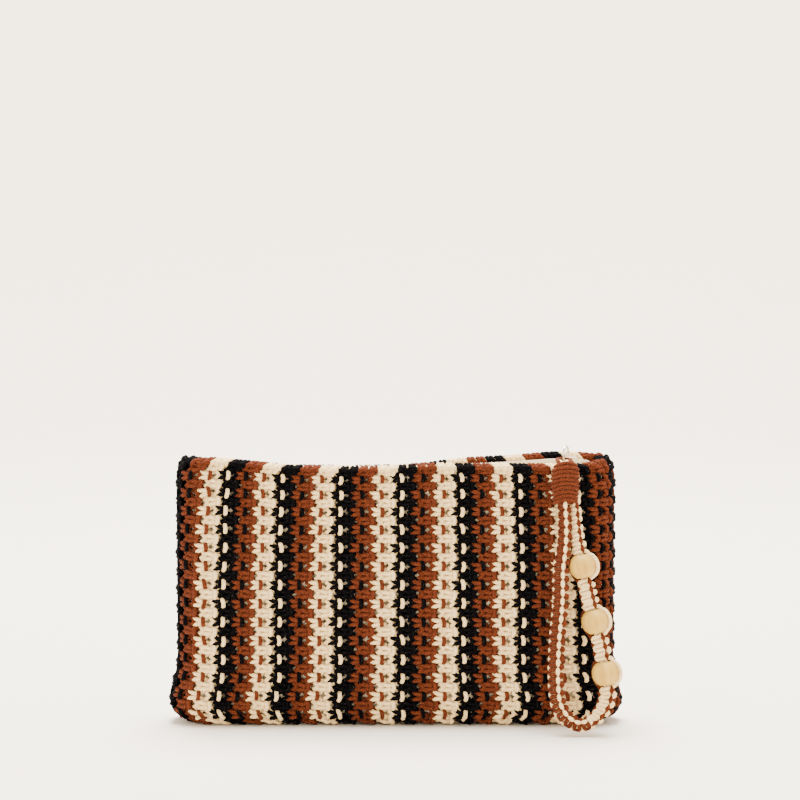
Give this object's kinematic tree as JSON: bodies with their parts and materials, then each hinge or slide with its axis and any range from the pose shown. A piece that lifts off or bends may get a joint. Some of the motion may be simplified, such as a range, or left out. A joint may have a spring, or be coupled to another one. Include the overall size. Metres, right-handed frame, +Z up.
{
  "type": "macrame pouch",
  "caption": "Flat zipped pouch knotted from striped cord, lined, with a beaded knotted wrist strap on a wire ring at the zip slider.",
  "frame": {"origin": "middle of the flat base that the pouch stands on", "axes": "+X to the right along the pouch's width as seen from the front, -Y out of the front on which the strap hangs, +Z up"},
  "size_m": [0.2776, 0.0686, 0.1697],
  "materials": {
    "knotted_cord": "twisted cord in black, rust and cream, tied in square knots",
    "rust_cord": "smooth twisted cord",
    "cream_cord": "smooth twisted cord",
    "sennit_cord": "rust and cream cord in flat square knots",
    "lining_cloth": "plain weave",
    "zip_tape": "ribbed tape",
    "zip_nylon": "moulded nylon",
    "cream_enamel": "enamelled die casting",
    "steel": "bright drawn wire",
    "bead_wood": "sanded, unvarnished"
  },
  "bodies": {
    "pouch": {"knotted_shell": "knotted_cord", "rim_left_end": "knotted_cord", "rim_front_left": "knotted_cord", "rim_front": "knotted_cord", "rim_front_right": "knotted_cord", "rim_right_end": "knotted_cord", "rim_back": "knotted_cord", "holder_cord": "cream_cord", "lining": "lining_cloth", "tape_front": "zip_tape", "tape_back": "zip_tape", "teeth_front": "zip_nylon", "teeth_back": "zip_nylon", "top_stop_front": "zip_nylon", "top_stop_back": "zip_nylon", "bottom_stop": "zip_nylon"},
    "slider": {"slider": "cream_enamel"},
    "ring": {"ring": "steel"},
    "strap": {"rust_bight": "rust_cord", "cream_bight": "cream_cord", "cord_bundle": "cream_cord", "whipping": "rust_cord", "long_sennit": "sennit_cord", "sennit_3": "sennit_cord", "sennit_2": "sennit_cord", "sennit_1": "sennit_cord", "bead_1": "bead_wood", "bead_2": "bead_wood", "bead_3": "bead_wood"}
  },
  "joints": [
    {"name": "slider_slide", "type": "slide", "parent": "pouch", "child": "slider", "axis": [-1, 0, 0], "range_m": [0, 0.2035], "deforming": ["teeth_front", "teeth_back"]},
    {"name": "ring_rock", "type": "hinge", "parent": "slider", "child": "ring", "pos_m": [0.1032, 0, 0.16137], "axis": [-1, 0, 0], "range_deg": [0, 20]},
    {"name": "strap_lift", "type": "hinge", "parent": "ring", "child": "strap", "pos_m": [0.1032, -0.0005, 0.1639], "axis": [-0.9397, 0.342, 0], "range_deg": [0, 120]}
  ]
}
